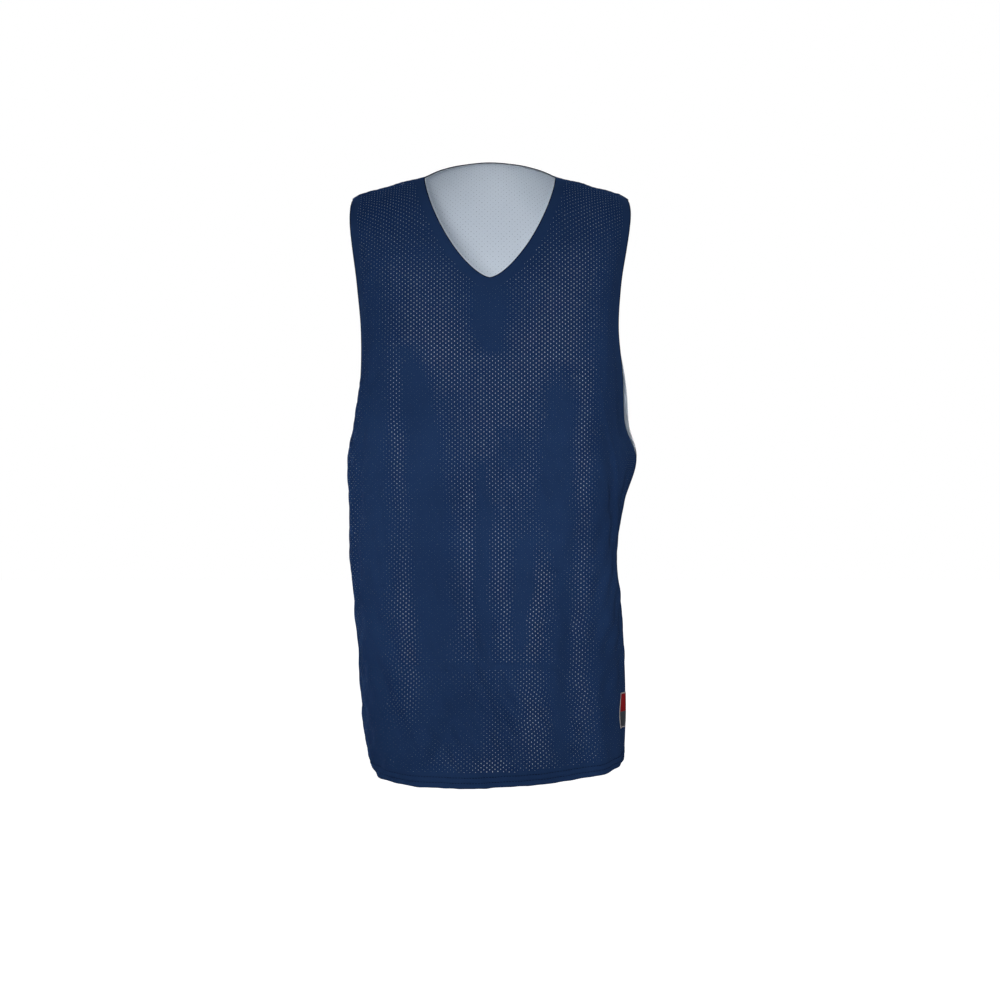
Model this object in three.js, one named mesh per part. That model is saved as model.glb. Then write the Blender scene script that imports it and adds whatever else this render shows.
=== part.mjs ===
import * as THREE from 'three';
import { mergeGeometries, mergeVertices } from 'three/addons/utils/BufferGeometryUtils.js';

// A reversible basketball jersey, hollow and open as when it is worn: a ply of navy mesh
// outside and a ply of white mesh inside, joined at the shoulders, sides, neck, armholes and hem.
// Millimetres, +Z up, +X to the wearer's left, -Y to the front. The origin lies midway between
// the two neck points, where the shoulder straps rest on the wearer.

// Driving sizes
const plyThickness = 1.1;
const plyGap = 0.4;
const seamGap = 0.3;
const neckHalf = 86; // from the middle to a neck point
const neckDrop = 139; // from the neck points down to the point of the V
const neckCurve = { across: 1.5, down: 0.7 }; // how square the V's sides bulge
const backNeck = { rise: 24, reach: 62, power: 1.15, fullDepth: 110 }; // the back neck edge
const shoulderSlope = 0.29;
const slopeStart = 62;
const slopeSoftness = 20;
const shoulderBlend = 150; // how far down the straps still follow the shoulder line
const crestRise = 14; // the back ply rises a little past the seam before it falls
const armholeSwing = { left: 0, right: 9, lateness: 4 }; // how far the back armhole edges stand outside
const underarmRounding = 12; // how late the armhole edges swing in to meet at the underarm
const cornerDepth = 0.8; // how far forward the body turns, from side seam to middle
const hemDepth = 16;
const hemThickness = 3;
const hemRaise = 0.3;
const hemGap = 0.5; // wider than a flat seam, because the walls tilt a little here
const hem = {
  front: { middle: -795, riseLeft: 60, riseRight: 33 },
  back: { middle: -797, riseLeft: 62, riseRight: 35 },
  powerLeft: 3.4,
  powerRight: 1.2,
};
const label = { from: 1.4, to: 1.66, top: -676, bottom: -722, thickness: 1, lift: 0.3 };

// One row for each horizontal section, from the shoulder seam down. level is its height,
// left and right are how far the sides stand out, front and back are the depth at the middle,
// seam is the depth of the side seam, armFront and armBack are how far the armhole edges lie
// from it, and cornerLeft and cornerRight say where the cloth turns towards the side.
const sections = [
  { level: 3.2, left: 181, right: 182, front: -6, back: -6, seam: 0, armFront: 6, armBack: -6,
    cornerLeft: 0.8, cornerRight: 0.8 },
  { level: -5, left: 182, right: 183, front: -26, back: 20, seam: 0, armFront: 20, armBack: 12,
    cornerLeft: 0.8, cornerRight: 0.8 },
  { level: -22, left: 183, right: 184, front: -47, back: 46, seam: 0, armFront: 34, armBack: 28,
    cornerLeft: 0.8, cornerRight: 0.8 },
  { level: -50, left: 182, right: 182, front: -66, back: 70, seam: 0, armFront: 46, armBack: 42,
    cornerLeft: 0.8, cornerRight: 0.8 },
  { level: -95, left: 178, right: 177, front: -84, back: 90, seam: 0, armFront: 57, armBack: 54,
    cornerLeft: 0.8, cornerRight: 0.8 },
  { level: -150, left: 172, right: 170, front: -99, back: 104, seam: 2, armFront: 67, armBack: 60,
    cornerLeft: 0.82, cornerRight: 0.8 },
  { level: -205, left: 167, right: 167, front: -109, back: 110, seam: 4, armFront: 74, armBack: 60,
    cornerLeft: 0.86, cornerRight: 0.79 },
  { level: -262, left: 168, right: 173, front: -114, back: 109, seam: 8, armFront: 72, armBack: 46,
    cornerLeft: 0.88, cornerRight: 0.78 },
  { level: -320, left: 176, right: 180, front: -116, back: 104, seam: 11, armFront: 56, armBack: 34,
    cornerLeft: 0.89, cornerRight: 0.77 },
  { level: -372, left: 185, right: 194, front: -115, back: 99, seam: 13, armFront: 34, armBack: 22,
    cornerLeft: 0.88, cornerRight: 0.75 },
  { level: -432, left: 183, right: 176, front: -113, back: 96, seam: 14, armFront: 0, armBack: 0,
    cornerLeft: 0.88, cornerRight: 0.84 },
  { level: -500, left: 182, right: 164, front: -111, back: 97, seam: 14, armFront: 0, armBack: 0,
    cornerLeft: 0.88, cornerRight: 0.9 },
  { level: -590, left: 175, right: 175, front: -112, back: 101, seam: 12, armFront: 0, armBack: 0,
    cornerLeft: 0.86, cornerRight: 0.84 },
  { level: -680, left: 169.5, right: 179, front: -115, back: 105, seam: 10, armFront: 0, armBack: 0,
    cornerLeft: 0.84, cornerRight: 0.8 },
  { level: -745, left: 163, right: 178, front: -114, back: 106, seam: 8, armFront: 0, armBack: 0,
    cornerLeft: 0.82, cornerRight: 0.8 },
  { level: -815, left: 150, right: 172, front: -110, back: 104, seam: 6, armFront: 0, armBack: 0,
    cornerLeft: 0.82, cornerRight: 0.8 },
];
const underarmRow = sections.findIndex((section) => section.armFront === 0) - 1;

// The largest folds. start and end say where a fold runs across the panel at its top and
// bottom, where 0 is the middle, 1 the turn to the side and 2 the side seam. A depth below
// zero is a ridge.
const folds = {
  front: [
    { start: -0.03, end: 0.2, top: -520, bottom: -1040, width: 26, depth: 8 },
    { start: -0.15, end: -0.62, top: -660, bottom: -840, width: 22, depth: 6 },
    { start: 0.66, end: 0.8, top: -520, bottom: -900, width: 30, depth: 8 },
    { start: -0.98, end: -1.35, top: -330, bottom: -620, width: 13, depth: 5 },
    { start: -0.72, end: -0.66, top: -400, bottom: -640, width: 26, depth: -4 },
    { start: 1.08, end: 1.3, top: -330, bottom: -520, width: 15, depth: 6 },
    { start: -0.9, end: -0.85, top: -600, bottom: -900, width: 20, depth: 6 },
  ],
  back: [
    { start: -0.55, end: -0.7, top: -130, bottom: -1100, width: 32, depth: 14 },
    { start: -0.08, end: -0.12, top: -210, bottom: -1240, width: 30, depth: 12 },
    { start: 0.5, end: 0.44, top: -120, bottom: -1000, width: 34, depth: 17 },
    { start: 0.98, end: 0.92, top: -300, bottom: -1100, width: 26, depth: 12 },
    { start: -1.2, end: -1.1, top: -330, bottom: -900, width: 24, depth: 10 },
    { start: 0.2, end: 0.16, top: -480, bottom: -1300, width: 24, depth: -7 },
  ],
};
const foldFading = { ends: 0.8, sides: 2 }; // how gently a fold ends, and how near a side seam

// About how much cloth lies between one step and the next
const acrossUnit = 150; // from the middle to the turn
const sideUnit = 105; // from the turn to the side seam
const rowUnit = 22; // from the shoulder seam to the section below it

// Grid of the walls
const strapRows = 12; // from the shoulder seam down to the point of the V
const armholeRows = 10; // from there down to the underarm
const bodyRows = 13; // from there down to the hem
const halfColumns = 12;
const edgeFading = 5; // how soon the rows forget the curve of the hem
const steps = { depth: 1e-3, length: 60, halvings: 40 };

const mix = (a, b, t) => a + (b - a) * t;
const clamp01 = (t) => Math.min(1, Math.max(0, t));
const smooth = (t) => clamp01(t) ** 2 * (3 - 2 * clamp01(t));

function through(before, from, to, after, t) {
  const leaving = (to - before) / 2;
  const arriving = (after - from) / 2;
  const t2 = t * t;
  const t3 = t2 * t;
  return (2 * t3 - 3 * t2 + 1) * from + (t3 - 2 * t2 + t) * leaving
    + (3 * t2 - 2 * t3) * to + (t3 - t2) * arriving;
}

// A column of the section table at any row. Above the shoulder seam the table runs on into
// the other panel, given by the mirrored column.
function column(name, row, mirrored = name) {
  const last = sections.length - 1;
  const index = Math.min(last - 1, Math.max(0, Math.floor(row)));
  const from = sections[index][name];
  const to = sections[index + 1][name];
  const before = index > 0 ? sections[index - 1][name] : sections[1][mirrored];
  const after = index + 2 <= last ? sections[index + 2][name] : 2 * to - from;
  return through(before, from, to, after, row - index);
}

// How far an armhole edge lies from the side seam: none from the underarm down
function armReach(name, row) {
  if (row >= underarmRow) return 0;
  const share = row / underarmRow;
  return column(name, row) * Math.sqrt(1 - share ** underarmRounding);
}

function edgeDepth(panel, row) {
  const seam = column('seam', row);
  return panel === 'front' ? seam - armReach('armFront', row) : seam + armReach('armBack', row);
}

function edgeAcross(panel, side, row) {
  const across = side < 0 ? column('left', row) : column('right', row);
  if (panel === 'front' || row >= underarmRow) return side * across;
  const swing = side < 0 ? armholeSwing.left : armholeSwing.right;
  return side * (across + swing * Math.sin(Math.PI * (row / underarmRow) ** armholeSwing.lateness));
}

function cornerOf(panel, side, row) {
  const name = side < 0 ? 'cornerLeft' : 'cornerRight';
  const other = panel === 'front' ? 'back' : 'front';
  const middle = column(panel, row, other);
  return [
    edgeAcross(panel, side, row) * column(name, row),
    mix(edgeDepth(panel, row), middle, cornerDepth),
  ];
}

// One half of a section: from the middle, over the turn, to the side seam or armhole edge.
function sectionPoint(panel, across, row) {
  const side = across < 0 ? -1 : 1;
  const other = panel === 'front' ? 'back' : 'front';
  const middle = [0, column(panel, row, other)];
  const corner = cornerOf(panel, side, row);
  const farCorner = cornerOf(panel, -side, row);
  const edge = [edgeAcross(panel, side, row), edgeDepth(panel, row)];
  const free = [2 * edge[0] - corner[0], 2 * edge[1] - corner[1]];
  const joined = cornerOf(other, side, row);
  const closed = smooth(row - underarmRow + 1);
  const beyond = [mix(free[0], joined[0], closed), mix(free[1], joined[1], closed)];
  const points = [farCorner, middle, corner, edge, beyond];
  const place = Math.min(Math.abs(across), 2 - 1e-9);
  const start = Math.floor(place);
  return [0, 1].map((axis) => through(
    points[start][axis], points[start + 1][axis], points[start + 2][axis],
    points[start + 3][axis], Math.abs(across) - start));
}

function plainPoint(panel, across, row) {
  const [x, depth] = sectionPoint(panel, across, row);
  let y = depth;
  let z = column('level', row);
  const blend = 1 - smooth(-z / shoulderBlend);
  const past = Math.max(0, Math.abs(x) - slopeStart);
  z -= shoulderSlope * (Math.hypot(past, slopeSoftness) - slopeSoftness) * blend;
  if (panel === 'back') {
    z += crestRise * row * Math.exp(-row) * blend;
    const nearMiddle = Math.max(0, 1 - (x / neckHalf) ** 2) ** backNeck.power;
    const shallow = clamp01(1 - (column('back', row, 'front') - sections[0].back) / backNeck.fullDepth);
    z += backNeck.rise * nearMiddle * shallow;
    y += backNeck.reach * nearMiddle * shallow;
  }
  return new THREE.Vector3(x, y, z);
}

function normalOf(point, panel, across, row) {
  const d = steps.depth;
  const near = Math.min(across + d, 2);
  const far = Math.max(across - d, -2);
  const along = point(panel, near, row).sub(point(panel, far, row));
  const down = point(panel, across, row + d).sub(point(panel, across, Math.max(0, row - d)));
  const normal = along.cross(down).normalize();
  return panel === 'front' ? normal.negate() : normal;
}

function foldDepth(panel, across, level) {
  let total = 0;
  for (const fold of folds[panel]) {
    const t = (fold.top - level) / (fold.top - fold.bottom);
    if (t <= 0 || t >= 1) continue;
    const away = (across - mix(fold.start, fold.end, t)) * acrossUnit / fold.width;
    total -= fold.depth * Math.sin(Math.PI * t) ** foldFading.ends * Math.exp(-away * away);
  }
  return total * smooth((2 - Math.abs(across)) * foldFading.sides);
}

function clothPoint(panel, across, row) {
  const point = plainPoint(panel, across, row);
  const depth = foldDepth(panel, across, point.z);
  return point.addScaledVector(normalOf(plainPoint, panel, across, row), depth);
}

// The place between low and high where the test changes from true to false
function crossing(low, high, test) {
  let inside = low;
  let outside = high;
  for (let i = 0; i < steps.halvings; i += 1) {
    const middle = (inside + outside) / 2;
    if (test(middle)) inside = middle;
    else outside = middle;
  }
  return (inside + outside) / 2;
}

function neckLevel(x) {
  const across = Math.min(1, Math.abs(x) / neckHalf);
  return -neckDrop * (1 - across ** neckCurve.across) ** neckCurve.down;
}

function hemLevel(panel, across) {
  const side = across < 0;
  const rise = side ? hem[panel].riseLeft : hem[panel].riseRight;
  const power = side ? hem.powerLeft : hem.powerRight;
  return hem[panel].middle + rise * Math.abs(across / 2) ** power;
}

function rowAtLevel(level) {
  return crossing(0, sections.length - 1, (row) => column('level', row) > level);
}

// How far across the neck opening reaches on one side of a row
function neckAcross(panel, side, row) {
  if (panel === 'back' || row >= neckRow) return 0;
  return crossing(0, 1, (across) => {
    const point = plainPoint(panel, side * across, row);
    return Math.abs(point.x) < neckHalf && point.z > neckLevel(point.x);
  });
}

// Rows evenly spaced by the length of the cloth, measured down the turn of the panel
function evenRows(panel, top, bottom, count) {
  const trail = [0];
  let last = clothPoint(panel, 1, top);
  for (let i = 1; i <= steps.length; i += 1) {
    const next = clothPoint(panel, 1, mix(top, bottom, i / steps.length));
    trail.push(trail[i - 1] + next.distanceTo(last));
    last = next;
  }
  return Array.from({ length: count + 1 }, (_, j) => {
    const wanted = trail[steps.length] * j / count;
    let i = 1;
    while (i < steps.length && trail[i] < wanted) i += 1;
    const share = (wanted - trail[i - 1]) / (trail[i] - trail[i - 1]);
    return mix(top, bottom, (i - 1 + share) / steps.length);
  });
}

// One half of a panel as lines of points and normals, from the neck edge or the middle to the
// armhole edge or side seam. Near the hem the rows bend to follow it.
function halfGrid(panel, side, rows, bottomOf) {
  const last = rows.length - 1;
  return Array.from({ length: halfColumns + 1 }, (_, i) => rows.map((row, j) => {
    const across = side * mix(neckAcross(panel, side, row), 2 - seamInset, i / halfColumns);
    const bend = (bottomOf(across) - rows[last]) * (j / last) ** edgeFading;
    return {
      across,
      point: clothPoint(panel, across, row + bend),
      normal: normalOf(clothPoint, panel, across, row + bend),
    };
  }));
}

// The hem band's lines, one cell high
function bandGrid(panel, side, topOf, bottomOf) {
  return Array.from({ length: halfColumns + 1 }, (_, i) => {
    const across = side * mix(0, 2 - seamInset, i / halfColumns);
    return [topOf(across), bottomOf(across)].map((row) => ({
      point: clothPoint(panel, across, row),
      normal: normalOf(clothPoint, panel, across, row),
    }));
  });
}

// The faces of a wall between two offsets of a grid. Its first line has a rim only above
// openRows, because below them the other half goes on.
function wallFaces(grid, outside, inside, openRows) {
  const columns = grid.length;
  const rows = grid[0].length;
  const positions = [];
  for (const offset of [outside, inside]) {
    for (const { point, normal } of grid.flat()) {
      positions.push(...point.clone().addScaledVector(normal, offset).toArray());
    }
  }
  const at = (layer, i, j) => layer * columns * rows + i * rows + j;
  const triangles = [];
  const quad = (a, b, c, d) => triangles.push(a, b, c, a, c, d);
  const apart = (i, j, k, l) => grid[i][j].point.distanceTo(grid[k][l].point);
  for (let i = 0; i + 1 < columns; i += 1) {
    for (let j = 0; j + 1 < rows; j += 1) {
      const corners = [[i, j], [i + 1, j], [i + 1, j + 1], [i, j + 1]];
      if (apart(i, j, i + 1, j + 1) > apart(i + 1, j, i, j + 1)) corners.push(corners.shift());
      quad(...corners.map(([k, l]) => at(0, k, l)));
      const [a, b, c, d] = corners.map(([k, l]) => at(1, k, l));
      quad(a, d, c, b);
    }
    quad(at(0, i + 1, 0), at(0, i, 0), at(1, i, 0), at(1, i + 1, 0));
    quad(at(0, i, rows - 1), at(0, i + 1, rows - 1), at(1, i + 1, rows - 1), at(1, i, rows - 1));
  }
  const edge = columns - 1;
  for (let j = 0; j + 1 < rows; j += 1) {
    if (j < openRows) quad(at(0, 0, j), at(0, 0, j + 1), at(1, 0, j + 1), at(1, 0, j));
    quad(at(0, edge, j + 1), at(0, edge, j), at(1, edge, j), at(1, edge, j + 1));
  }
  const geometry = new THREE.BufferGeometry();
  geometry.setAttribute('position', new THREE.Float32BufferAttribute(positions, 3));
  geometry.setIndex(signedVolume(positions, triangles) < 0 ? triangles.reverse() : triangles);
  return geometry;
}

// A panel's wall: its two halves, joined in the middle
function wallGeometry(halves, outside, inside, openRows) {
  const faces = halves.map((half) => wallFaces(half, outside, inside, openRows));
  const geometry = mergeVertices(mergeGeometries(faces));
  geometry.computeVertexNormals();
  return geometry;
}

function signedVolume(positions, triangles) {
  const corner = (index) => new THREE.Vector3().fromArray(positions, 3 * index);
  let volume = 0;
  for (let i = 0; i < triangles.length; i += 3) {
    const [a, b, c] = triangles.slice(i, i + 3).map(corner);
    volume += a.dot(b.cross(c)) / 6;
  }
  return volume;
}

// The label lies on the facets of the panel under it, so its points are found on them.
function gridPatch(grid, from, to, levels) {
  const lineAt = (line, z) => {
    const j = line.findIndex((sample) => sample.point.z <= z);
    const share = (z - line[j - 1].point.z) / (line[j].point.z - line[j - 1].point.z);
    return {
      across: line[j].across,
      point: line[j - 1].point.clone().lerp(line[j].point, share),
      normal: line[j - 1].normal.clone().lerp(line[j].normal, share).normalize(),
    };
  };
  const places = grid.map((line) => lineAt(line, levels[0]).across);
  const inside = places.filter((place) => place > from && place < to);
  return [from, ...inside, to].map((place) => {
    const i = places.findIndex((next) => next >= place);
    const share = (place - places[i - 1]) / (places[i] - places[i - 1]);
    return levels.map((z) => {
      const before = lineAt(grid[i - 1], z);
      const after = lineAt(grid[i], z);
      return {
        point: before.point.lerp(after.point, share),
        normal: before.normal.lerp(after.normal, share).normalize(),
      };
    });
  });
}

const fabric = (color) => new THREE.MeshStandardMaterial({ color, roughness: 0.8, metalness: 0 });
const navyMesh = fabric(0x283c5e);
const whiteMesh = fabric(0xd8dae0);
const wovenLabel = fabric(0x9a2a34);

const jersey = new THREE.Group();

function addPiece(name, geometry, material) {
  const mesh = new THREE.Mesh(geometry, material);
  mesh.name = name;
  jersey.add(mesh);
}

const seamInset = seamGap / 2 / sideUnit;
const shoulderInset = seamGap / 2 / rowUnit;
const neckRow = rowAtLevel(-neckDrop);
const innerFace = -plyThickness - plyGap;

const panelGrids = {};
for (const panel of ['front', 'back']) {
  const openRows = panel === 'front' ? strapRows : 0;
  const hemTop = (across) => rowAtLevel(hemLevel(panel, across) + hemDepth + hemGap);
  const strap = evenRows(panel, shoulderInset, neckRow, strapRows);
  const chest = evenRows(panel, neckRow, underarmRow, armholeRows);
  const body = evenRows(panel, underarmRow, hemTop(1), bodyRows);
  const rows = [...strap, ...chest.slice(1), ...body.slice(1)];
  const halves = [-1, 1].map((side) => halfGrid(panel, side, rows, hemTop));
  addPiece(`${panel}_outer`, wallGeometry(halves, 0, -plyThickness, openRows), navyMesh);
  const innerWall = wallGeometry(halves, innerFace, innerFace - plyThickness, openRows);
  addPiece(`${panel}_inner`, innerWall, whiteMesh);

  const bandTop = (across) => rowAtLevel(hemLevel(panel, across) + hemDepth);
  const bandBottom = (across) => rowAtLevel(hemLevel(panel, across));
  const band = [-1, 1].map((side) => bandGrid(panel, side, bandTop, bandBottom));
  addPiece(`hem_${panel}`, wallGeometry(band, hemRaise, hemRaise - hemThickness, 0), navyMesh);
  panelGrids[panel] = halves;
}

const labelLevels = [0, 1, 2, 3].map((i) => mix(label.top, label.bottom, i / 3));
const labelGrid = gridPatch(panelGrids.front[1], label.from, label.to, labelLevels);
const labelOuter = label.lift + label.thickness;
addPiece('side_label', wallFaces(labelGrid, labelOuter, label.lift, labelLevels.length), wovenLabel);

export default jersey;
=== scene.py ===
import math

import bmesh
import bpy
import numpy as np
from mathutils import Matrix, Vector
from mathutils.geometry import delaunay_2d_cdt


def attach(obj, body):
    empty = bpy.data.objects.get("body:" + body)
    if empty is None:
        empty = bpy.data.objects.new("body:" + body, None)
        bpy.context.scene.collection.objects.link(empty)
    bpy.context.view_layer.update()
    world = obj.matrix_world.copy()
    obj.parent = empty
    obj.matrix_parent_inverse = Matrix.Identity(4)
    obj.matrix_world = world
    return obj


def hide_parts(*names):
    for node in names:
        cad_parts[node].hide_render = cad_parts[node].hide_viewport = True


# Reversible basketball jersey as it hangs when worn: a navy mesh ply over a white mesh ply.
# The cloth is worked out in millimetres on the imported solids' own form, and every mesh is
# written in metres. +X is the wearer's left, -Y the front, +Z up.

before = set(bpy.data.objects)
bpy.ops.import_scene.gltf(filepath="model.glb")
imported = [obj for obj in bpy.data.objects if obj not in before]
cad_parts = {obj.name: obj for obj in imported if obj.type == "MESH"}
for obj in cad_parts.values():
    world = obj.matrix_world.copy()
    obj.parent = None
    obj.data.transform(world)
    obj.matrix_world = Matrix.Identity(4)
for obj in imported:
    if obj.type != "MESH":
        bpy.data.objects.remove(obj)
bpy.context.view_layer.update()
millimetre = 0.001
random = np.random.default_rng(7)


# One row for each horizontal section, from the shoulder seam down: level, how far the sides
# stand out on the left and right as seen from the front, depth at the middle front and back,
# depth of the side seam, how far the armhole edges lie from it front and back, and where the
# cloth turns to the side, as shares of the way out. A place on a panel is its row in this table
# and how far across it lies: -2 and 2 are the side seams, -1 and 1 the turns, 0 the middle.
sectionNames = (
    "level", "left", "right", "front", "back", "seam", "armFront", "armBack", "cornerLeft", "cornerRight")
sections = np.array([
    (3.2, 181, 182, -6, -6, 0, 6, -6, .8, .8),
    (-5, 182, 183, -26, 20, 0, 20, 12, .8, .8),
    (-22, 183, 184, -47, 46, 0, 34, 28, .8, .8),
    (-50, 182, 182, -66, 70, 0, 46, 42, .8, .8),
    (-95, 178, 177, -84, 90, 0, 57, 54, .8, .8),
    (-150, 172, 170, -99, 104, 2, 67, 60, .82, .8),
    (-205, 167, 167, -109, 110, 4, 74, 60, .86, .79),
    (-262, 168, 173, -114, 109, 8, 72, 46, .88, .78),
    (-320, 176, 180, -116, 104, 11, 56, 34, .89, .77),
    (-372, 185, 194, -115, 99, 13, 34, 22, .88, .75),
    (-432, 183, 176, -113, 96, 14, 0, 0, .88, .84),
    (-500, 182, 164, -111, 97, 14, 0, 0, .88, .9),
    (-590, 175, 175, -112, 101, 12, 0, 0, .86, .84),
    (-680, 169.5, 179, -115, 105, 10, 0, 0, .84, .8),
    (-745, 163, 178, -114, 106, 8, 0, 0, .82, .8),
    (-815, 150, 172, -110, 104, 6, 0, 0, .82, .8),
])
lastSection = len(sections) - 1
underarmRow = 9

# Neck, shoulders and their rounded tips, and how the armhole edges (underarmRounding) and the cloth
# beside them (clothRounding) close at the underarm: millimetres, rows, powers and shares
form = {
    "neckHalf": 86,
    "neckDrop": 139,
    "neckAcross": 1.5,
    "neckDown": .7,
    "backNeckRise": 24,
    "backNeckReach": 62,
    "backNeckPower": 1.15,
    "backNeckDepth": 110,
    "shoulderSlope": .29,
    "slopeStart": 62,
    "slopeSoftness": 20,
    "shoulderBlend": 150,
    "crestRise": 14,
    "swingRight": 9,
    "swingLateness": 4,
    "underarmRounding": 12,
    "clothRounding": 16,
    "cutStart": 4,
    "cornerDepth": .8,
    "acrossUnit": 150,
    "tipStart": 167,
    "tipReach": 15,
    "tipDrop": 5,
    "tipRows": .8,
}
# The hem's lower edge: its level at the middle and how much and how bluntly it rises to the sides
hem = {
    "depth": 16,
    "front": {"middle": -795, "riseLeft": 60, "riseRight": 33},
    "back": {"middle": -797, "riseLeft": 62, "riseRight": 35},
    "powerLeft": 3.4,
    "powerRight": 1.2,
}

# The large folds, which the solids have too: where a fold starts and ends across the panel, its
# top and bottom level, width and depth. Below zero it is a ridge.
folds = {
    "front": [
        (-.03, .2, -520, -1040, 26, 8),
        (-.15, -.62, -660, -840, 22, 6),
        (.66, .8, -520, -900, 30, 8),
        (-.98, -1.35, -330, -620, 13, 5),
        (-.72, -.66, -400, -640, 26, -4),
        (1.08, 1.3, -330, -520, 15, 6),
        (-.9, -.85, -600, -900, 20, 6),
    ],
    "back": [
        (-.55, -.7, -130, -1100, 32, 14),
        (-.08, -.12, -210, -1240, 30, 12),
        (.5, .44, -120, -1000, 34, 17),
        (.98, .92, -300, -1100, 26, 12),
        (-1.2, -1.1, -330, -900, 24, 10),
        (.2, .16, -480, -1300, 24, -7),
    ],
}

# The finer creases: each runs from one place (across, level) to another, with its width and depth.
creases = {
    "front": [
        (.12, -190, .05, -520, 16, 1.6),
        (-.62, -150, -.50, -420, 18, 1.8),
        (.55, -140, .52, -400, 18, 1.6),
        (-.64, -638, -.12, -641, 2.8, 2.6),
        (-.02, -637, .32, -636, 2.8, 2),
        (.36, -640, .66, -638, 2.6, 2.5),
        (-.95, -536, -.66, -540, 3, 2),
        (.33, -520, .62, -517, 2.6, 2.4),
        (-.2, -672, -.58, -782, 13, 6.5),
        (-.05, -540, .16, -770, 11, 4),
        (.42, -545, .5, -730, 9, 3.4),
        (.22, -655, .64, -735, 12, 5),
        (.62, -756, .98, -744, 8, 3.5),
        (.38, -498, .56, -494, 2.6, 1.6),
        (1.0, -226, 1.38, -495, 3.5, -1.8),
        (1.5, -385, 1.4, -520, 9, 3),
        (-1.34, -330, -1.2, -600, 5, 4),
        (-1.0, -300, -1.12, -420, 7, 2.2),
        (-1.02, -60, -.80, -250, 12, 1.4),
        (1.05, -70, .84, -260, 12, 1.2),
    ],
    "back": [
        (-.3, -90, -.25, -380, 20, 2.2),
        (.25, -110, .2, -420, 20, 2.0),
        (1.25, -420, 1.1, -760, 16, 2.5),
        (-1.5, -430, -1.42, -700, 16, 2.2),
    ],
}


def mix(a, b, t):
    return a + (b - a) * t


def smooth(t):
    t = np.clip(t, 0, 1)
    return t * t * (3 - 2 * t)


def unit(vectors):
    return vectors / np.linalg.norm(vectors, axis=-1, keepdims=True)


def runAlong(points):  # the length along a line, at each of its points
    return np.concatenate([[0], np.cumsum(np.linalg.norm(np.diff(points, axis=0), axis=1))])


def through(before, start, end, after, t):  # a smooth curve through four values
    leaving, arriving = (end - before) / 2, (after - start) / 2
    t2, t3 = t * t, t * t * t
    return ((2 * t3 - 3 * t2 + 1) * start + (t3 - 2 * t2 + t) * leaving
            + (3 * t2 - 2 * t3) * end + (t3 - t2) * arriving)


def column(name, row, mirrored=None):
    values = sections[:, sectionNames.index(name)]
    other = sections[:, sectionNames.index(mirrored or name)]
    index = np.clip(np.floor(row).astype(int), 0, lastSection - 1)
    start, end = values[index], values[index + 1]
    before = np.where(index > 0, values[index - 1], other[1])
    after = np.where(index + 2 <= lastSection, values[np.minimum(index + 2, lastSection)], 2 * end - start)
    return through(before, start, end, after, row - index)


def armReach(panel, row, rounded):  # how far the armhole lies from the side seam
    share = np.clip(row / underarmRow, 0, 1)
    if rounded:  # the cut edge, which swings in late to meet at the underarm
        fading = np.sqrt(1 - share ** form["underarmRounding"])
    else:  # the cloth itself, which changes more gently
        fading = (1 - share ** form["clothRounding"]) ** 2
    return column("armFront" if panel == "front" else "armBack", row) * fading


def edgeDepth(panel, row, rounded=False):  # how deep the armhole edge or side seam lies
    reach = armReach(panel, row, rounded)
    return column("seam", row) + (-reach if panel == "front" else reach)


def edgeAcross(panel, side, row):
    reach = np.where(side < 0, column("left", row), column("right", row))
    if panel == "back":
        swing = np.where(side > 0, form["swingRight"], 0)
        share = np.clip(row / underarmRow, 0, 1)
        reach = reach + swing * np.sin(np.pi * share ** form["swingLateness"])
    return side * reach


def cornerOf(panel, side, row):
    other = "back" if panel == "front" else "front"
    place = np.where(side < 0, column("cornerLeft", row), column("cornerRight", row))
    middle = column(panel, row, other)
    return (edgeAcross(panel, side, row) * place, mix(edgeDepth(panel, row), middle, form["cornerDepth"]))


def sectionPoint(panel, across, row):
    side = np.where(across < 0, -1, 1)
    other = "back" if panel == "front" else "front"
    middle = (np.zeros_like(row), column(panel, row, other))
    corner, farCorner = cornerOf(panel, side, row), cornerOf(panel, -side, row)
    joined = cornerOf(other, side, row)
    edge = (edgeAcross(panel, side, row), edgeDepth(panel, row))
    closed = smooth(row - underarmRow + 1)
    place = np.minimum(np.abs(across), 2 - 1e-9)
    near = np.floor(place) < 1
    result = []
    for axis in (0, 1):
        beyond = mix(2 * edge[axis] - corner[axis], joined[axis], closed)
        first = through(farCorner[axis], middle[axis], corner[axis], edge[axis], np.abs(across))
        second = through(middle[axis], corner[axis], edge[axis], beyond, np.abs(across) - 1)
        result.append(np.where(near, first, second))
    return result


def plainPoint(panel, across, row):
    x, y = sectionPoint(panel, across, row)
    z = column("level", row)
    blend = 1 - smooth(-z / form["shoulderBlend"])
    past = np.maximum(0, np.abs(x) - form["slopeStart"])
    z = z - form["shoulderSlope"] * (np.hypot(past, form["slopeSoftness"]) - form["slopeSoftness"]) * blend
    toTip = np.clip((np.abs(x) - form["tipStart"]) / form["tipReach"], 0, 1)
    z = z - form["tipDrop"] * toTip ** 2 * np.exp(-(row / form["tipRows"]) ** 2)
    if panel == "back":
        z = z + form["crestRise"] * row * np.exp(-row) * blend
        nearMiddle = np.maximum(0, 1 - (x / form["neckHalf"]) ** 2) ** form["backNeckPower"]
        shallow = np.clip(1 - (column("back", row, "front") + 6) / form["backNeckDepth"], 0, 1)
        z = z + form["backNeckRise"] * nearMiddle * shallow
        y = y + form["backNeckReach"] * nearMiddle * shallow
    return np.stack([x, y, z], -1)


# How bluntly the folds and creases end, and how fast they fade towards the side seam
endings = {"foldEnds": .8, "creaseEnds": .7, "foldSides": 2, "creaseSides": 3}


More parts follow.
